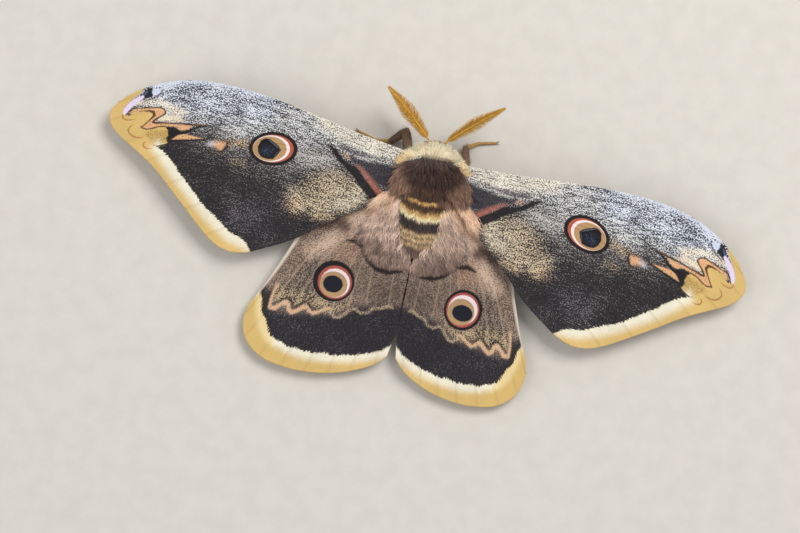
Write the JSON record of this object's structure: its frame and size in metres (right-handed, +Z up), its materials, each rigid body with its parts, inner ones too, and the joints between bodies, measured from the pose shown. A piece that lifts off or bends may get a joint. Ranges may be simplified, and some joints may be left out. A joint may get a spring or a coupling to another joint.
{
  "type": "giant peacock moth",
  "caption": "Large brown silk moth at rest with all wings spread flat, an eyespot on each wing, a furred body, feathered antennae and bent legs.",
  "frame": {"origin": "middle of the span and of the length, on the plane that the feet stand on", "axes": "+X to the moth's right along the span, +Y towards the head, +Z up out of its back"},
  "size_m": [0.1314, 0.0599, 0.0148],
  "materials": {
    "thorax_fur": "long soft dark brown fur",
    "collar_fur": "soft cream fur",
    "head_fur": "short brown fur",
    "abdomen_fur": "dense brown fur with pale rings",
    "forewing": "matte scaled membrane",
    "hindwing": "matte scaled membrane",
    "antenna": "matte golden ochre",
    "eye": "glossy black",
    "leg": "short fur, bare at the feet"
  },
  "bodies": {
    "root": {"abdomen": "abdomen_fur", "antenna_left": "antenna", "antenna_right": "antenna", "collar": "collar_fur", "eye_left": "eye", "eye_right": "eye", "fore_leg_left": "leg", "fore_leg_right": "leg", "forewing_left": "forewing", "forewing_right": "forewing", "head": "head_fur", "hind_leg_left": "leg", "hind_leg_right": "leg", "hindwing_left": "hindwing", "hindwing_right": "hindwing", "mid_leg_left": "leg", "mid_leg_right": "leg", "thorax": "thorax_fur"}
  },
  "joints": []
}
